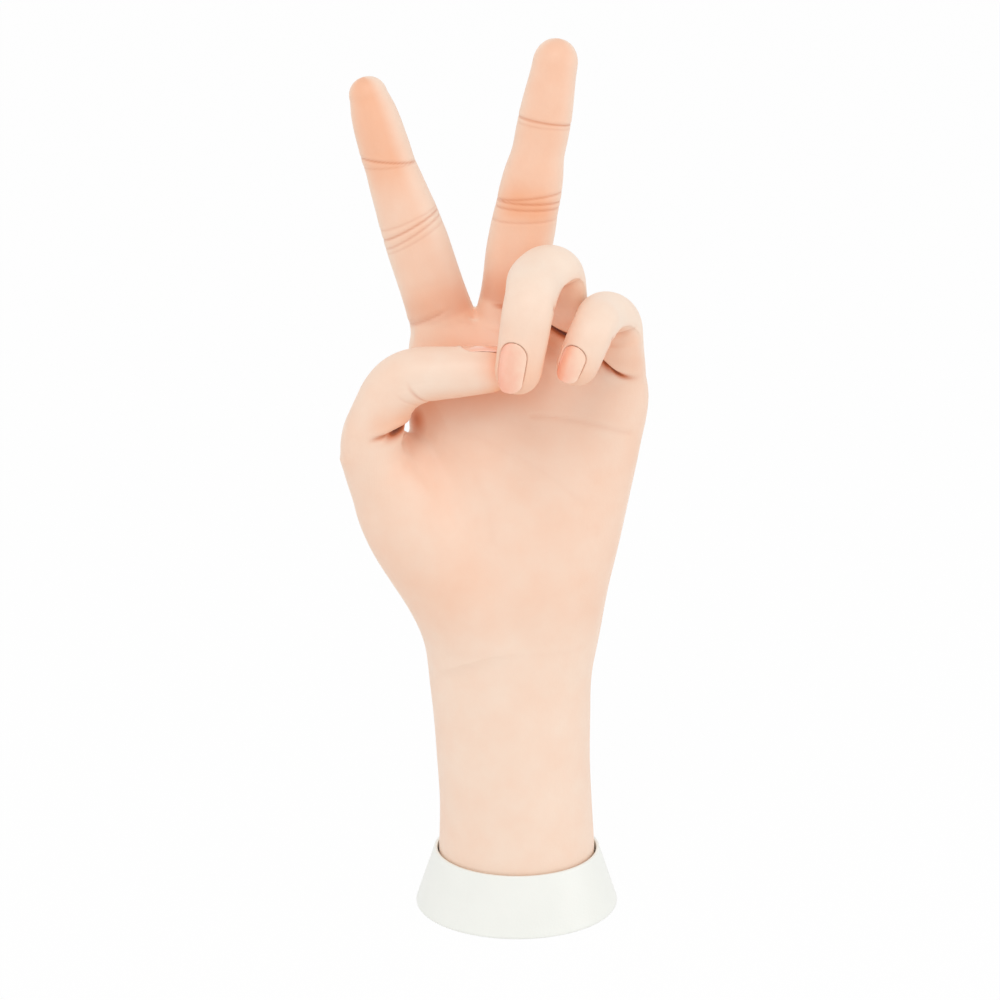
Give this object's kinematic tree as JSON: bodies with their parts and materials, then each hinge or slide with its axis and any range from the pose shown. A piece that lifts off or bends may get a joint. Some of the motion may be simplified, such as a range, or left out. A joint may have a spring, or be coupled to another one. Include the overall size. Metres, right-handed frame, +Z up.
{
  "type": "nail practice hand",
  "caption": "Posable left practice hand for nail work: soft skin over hinged finger bones, slide-in nails, standing in a flared collar.",
  "frame": {"origin": "centre of the base pad's underside", "axes": "+Z up the forearm, +X to the side of the little finger, -Y out of the palm"},
  "size_m": [0.0888, 0.0773, 0.2633],
  "materials": {
    "skin": "satin",
    "nail": "gloss",
    "collar": "satin",
    "bone": "matte",
    "steel": "brushed",
    "pad": "matte"
  },
  "bodies": {
    "palm": {"base_collar": "collar", "base_pad": "pad", "base_plate": "steel", "core_bolt": "steel", "forearm_core": "bone", "index_knuckle_pin": "steel", "knuckle_skin": "skin", "little_knuckle_pin": "steel", "middle_knuckle_pin": "steel", "palm_plate": "bone", "palm_skin": "skin", "ring_knuckle_pin": "steel", "thumb_base_bone": "bone", "thumb_base_screw": "steel", "thumb_knuckle_joint_skin": "skin", "thumb_knuckle_pin": "steel", "wrist_bolt": "steel"},
    "index_proximal": {"index_proximal_bone": "bone", "index_proximal_skin": "skin"},
    "index_middle": {"index_middle_bone": "bone", "index_middle_joint_skin": "skin", "index_middle_skin": "skin"},
    "index_distal": {"index_distal_bone": "bone", "index_distal_skin": "skin", "index_tip_joint_skin": "skin"},
    "index_nail": {"index_nail": "nail"},
    "middle_proximal": {"middle_proximal_bone": "bone", "middle_proximal_skin": "skin"},
    "middle_middle": {"middle_middle_bone": "bone", "middle_middle_joint_skin": "skin", "middle_middle_skin": "skin"},
    "middle_distal": {"middle_distal_bone": "bone", "middle_distal_skin": "skin", "middle_tip_joint_skin": "skin"},
    "middle_nail": {"middle_nail": "nail"},
    "ring_proximal": {"ring_proximal_bone": "bone", "ring_proximal_skin": "skin"},
    "ring_middle": {"ring_middle_bone": "bone", "ring_middle_joint_skin": "skin", "ring_middle_skin": "skin"},
    "ring_distal": {"ring_distal_bone": "bone", "ring_distal_skin": "skin", "ring_tip_joint_skin": "skin"},
    "ring_nail": {"ring_nail": "nail"},
    "little_proximal": {"little_proximal_bone": "bone", "little_proximal_skin": "skin"},
    "little_middle": {"little_middle_bone": "bone", "little_middle_joint_skin": "skin", "little_middle_skin": "skin"},
    "little_distal": {"little_distal_bone": "bone", "little_distal_skin": "skin", "little_tip_joint_skin": "skin"},
    "little_nail": {"little_nail": "nail"},
    "thumb_proximal": {"thumb_proximal_bone": "bone", "thumb_proximal_skin": "skin"},
    "thumb_distal": {"thumb_distal_bone": "bone", "thumb_distal_skin": "skin", "thumb_tip_joint_skin": "skin"},
    "thumb_nail": {"thumb_nail": "nail"}
  },
  "joints": [
    {"name": "index_knuckle_hinge", "type": "hinge", "parent": "palm", "child": "index_proximal", "pos_m": [-0.0188, 0.001, 0.172], "axis": [0.9532, 0, 0.3024], "range_deg": [-10, 40], "deforming": ["knuckle_skin"]},
    {"name": "index_middle_hinge", "type": "hinge", "parent": "index_proximal", "child": "index_middle", "pos_m": [-0.03041, 0.00017, 0.20859], "axis": [0.9532, 0, 0.3024], "range_deg": [0, 80], "deforming": ["index_middle_joint_skin"]},
    {"name": "index_tip_hinge", "type": "hinge", "parent": "index_middle", "child": "index_distal", "pos_m": [-0.03663, -0.00002, 0.22665], "axis": [0.9455, 0, 0.3256], "range_deg": [0, 65], "deforming": ["index_tip_joint_skin"]},
    {"name": "index_nail_slide", "type": "slide", "parent": "index_distal", "child": "index_nail", "axis": [-0.2823, 0, 0.9593], "range_m": [0, 0.012]},
    {"name": "middle_knuckle_hinge", "type": "hinge", "parent": "palm", "child": "middle_proximal", "pos_m": [-0.0048, 0.001, 0.175], "axis": [0.9826, 0, -0.1857], "range_deg": [-15, 0], "deforming": ["knuckle_skin"]},
    {"name": "middle_middle_hinge", "type": "hinge", "parent": "middle_proximal", "child": "middle_middle", "pos_m": [0.0027, 0.00017, 0.21469], "axis": [0.9826, 0, -0.1857], "range_deg": [0, 80], "deforming": ["middle_middle_joint_skin"]},
    {"name": "middle_tip_hinge", "type": "hinge", "parent": "middle_middle", "child": "middle_distal", "pos_m": [0.0073, -0.00003, 0.23794], "axis": [0.981, 0, -0.1942], "range_deg": [0, 65], "deforming": ["middle_tip_joint_skin"]},
    {"name": "middle_nail_slide", "type": "slide", "parent": "middle_distal", "child": "middle_nail", "axis": [0.1771, 0, 0.9842], "range_m": [0, 0.012]},
    {"name": "ring_knuckle_hinge", "type": "hinge", "parent": "palm", "child": "ring_proximal", "pos_m": [0.01454, 0.00025, 0.16833], "axis": [-0.8575, 0.4962, 0.1358], "range_deg": [-15, 34], "deforming": ["knuckle_skin"]},
    {"name": "ring_middle_hinge", "type": "hinge", "parent": "ring_proximal", "child": "ring_middle", "pos_m": [0.01053, -0.01573, 0.19926], "axis": [-0.9506, 0.3089, 0.0298], "range_deg": [-5, 70], "deforming": ["ring_middle_joint_skin"]},
    {"name": "ring_tip_hinge", "type": "hinge", "parent": "ring_middle", "child": "ring_distal", "pos_m": [0.00338, -0.03698, 0.19527], "axis": [-0.9487, 0.2891, 0.128], "range_deg": [-10, 65], "deforming": ["ring_tip_joint_skin"]},
    {"name": "ring_nail_slide", "type": "slide", "parent": "ring_distal", "child": "ring_nail", "axis": [-0.1564, -0.0775, -0.9846], "range_m": [0, 0.012]},
    {"name": "little_knuckle_hinge", "type": "hinge", "parent": "palm", "child": "little_proximal", "pos_m": [0.02971, -0.00023, 0.16089], "axis": [-0.7735, 0.5819, 0.2513], "range_deg": [0, 36], "deforming": ["knuckle_skin"]},
    {"name": "little_middle_hinge", "type": "hinge", "parent": "little_proximal", "child": "little_middle", "pos_m": [0.02789, -0.01369, 0.18521], "axis": [-0.9336, 0.3417, 0.1075], "range_deg": [-20, 56], "deforming": ["little_middle_joint_skin"]},
    {"name": "little_tip_hinge", "type": "hinge", "parent": "little_middle", "child": "little_distal", "pos_m": [0.02134, -0.03128, 0.18633], "axis": [-0.884, 0.3375, 0.3234], "range_deg": [-8, 70], "deforming": ["little_tip_joint_skin"]},
    {"name": "little_nail_slide", "type": "slide", "parent": "little_distal", "child": "little_nail", "axis": [-0.3827, -0.1254, -0.9153], "range_m": [0, 0.012]},
    {"name": "thumb_knuckle_hinge", "type": "hinge", "parent": "palm", "child": "thumb_proximal", "pos_m": [-0.04294, -0.01795, 0.14707], "axis": [0.0618, -0.9794, -0.1924], "range_deg": [-8, 40], "deforming": ["thumb_knuckle_joint_skin"]},
    {"name": "thumb_tip_hinge", "type": "hinge", "parent": "thumb_proximal", "child": "thumb_distal", "pos_m": [-0.03357, -0.02195, 0.16928], "axis": [-0.0945, -0.9869, -0.1305], "range_deg": [-20, 55], "deforming": ["thumb_tip_joint_skin"]},
    {"name": "thumb_nail_slide", "type": "slide", "parent": "thumb_distal", "child": "thumb_nail", "axis": [0.9917, -0.1049, 0.0748], "range_m": [0, 0.012]}
  ]
}
